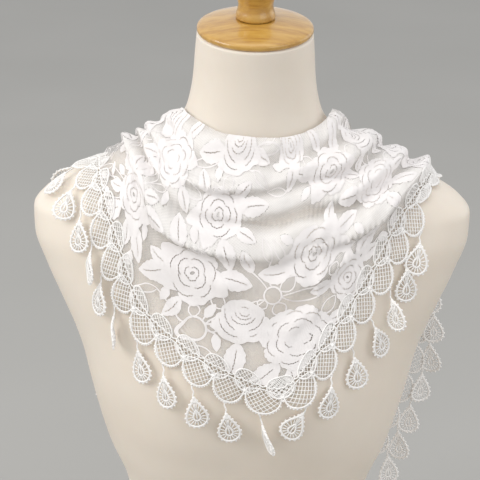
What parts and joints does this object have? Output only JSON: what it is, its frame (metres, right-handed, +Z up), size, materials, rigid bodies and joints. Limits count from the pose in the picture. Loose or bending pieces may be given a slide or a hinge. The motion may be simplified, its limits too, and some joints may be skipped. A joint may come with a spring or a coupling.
{
  "type": "lace shawl on a dress form",
  "caption": "Triangular rose-lace shawl with a scalloped, drop-hung edging, draped in cowl folds round the neck of a limbless dress form with a turned wood neck cap.",
  "frame": {"origin": "middle of the dress form's flat bottom, where it stands", "axes": "+Z up through the neck, the front with the shawl's point faces -Y, +X is the viewer's right"},
  "size_m": [0.384, 0.2319, 0.6472],
  "materials": {
    "lace": "sheer white rose lace on fine net",
    "edging": "corded white guipure with lattice fillings",
    "form": "smooth ivory satin",
    "cap_wood": "golden varnish"
  },
  "bodies": {
    "root": {"shawl_front": "lace", "shawl_shoulder_left": "lace", "shawl_shoulder_right": "lace", "shawl_tail_left": "lace", "shawl_tail_right": "lace", "trim_front_left": "edging", "trim_front_right": "edging", "trim_shoulder_left": "edging", "trim_shoulder_right": "edging", "trim_tail_left": "edging", "trim_tail_right": "edging", "form_body": "form", "cap_disc": "cap_wood", "cap_knob": "cap_wood"}
  },
  "joints": []
}
